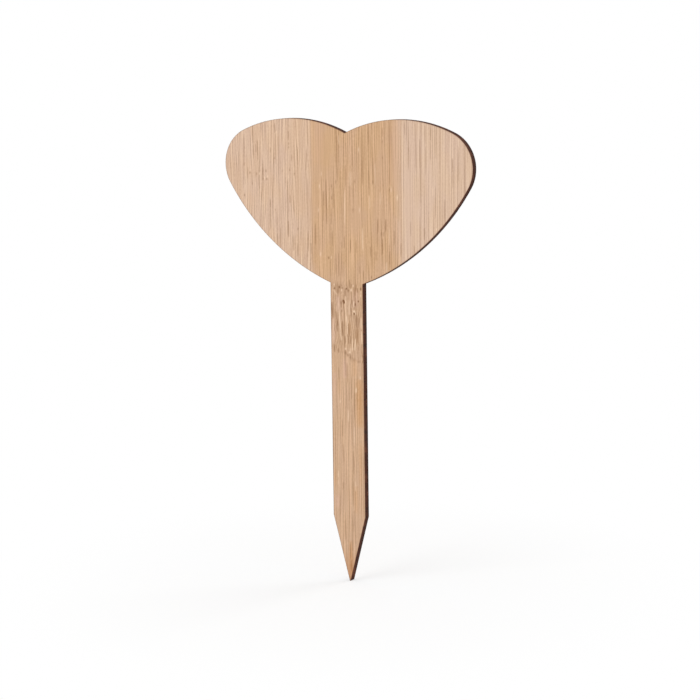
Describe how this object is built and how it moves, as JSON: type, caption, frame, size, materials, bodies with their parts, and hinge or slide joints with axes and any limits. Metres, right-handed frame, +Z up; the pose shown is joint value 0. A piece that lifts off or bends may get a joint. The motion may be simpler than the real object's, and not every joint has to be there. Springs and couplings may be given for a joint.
{
  "type": "plant label stake",
  "caption": "Heart-shaped plant label on a pointed stem, laser-cut from one thin sheet of edge-glued bamboo slats; pushed into soil, it shows a plant's name on its blank face.",
  "frame": {"origin": "on the stake's centreline, half way through the sheet, level with the soil when the stake is pushed in by 35 mm", "axes": "+Z up along the stem, -Y out of the label face, +X to the right of someone reading the label"},
  "size_m": [0.06, 0.0016, 0.1],
  "materials": {
    "left_slat_bamboo": "planed, uncoated, with a charred laser-cut edge",
    "centre_slat_bamboo": "planed, uncoated, with a charred laser-cut edge",
    "right_slat_bamboo": "planed, uncoated, with a charred laser-cut edge",
    "slat_glue": "cured adhesive film, planed flush"
  },
  "bodies": {
    "root": {"left_slat": "left_slat_bamboo", "left_glue_line": "slat_glue", "centre_slat": "centre_slat_bamboo", "right_glue_line": "slat_glue", "right_slat": "right_slat_bamboo"}
  },
  "joints": []
}
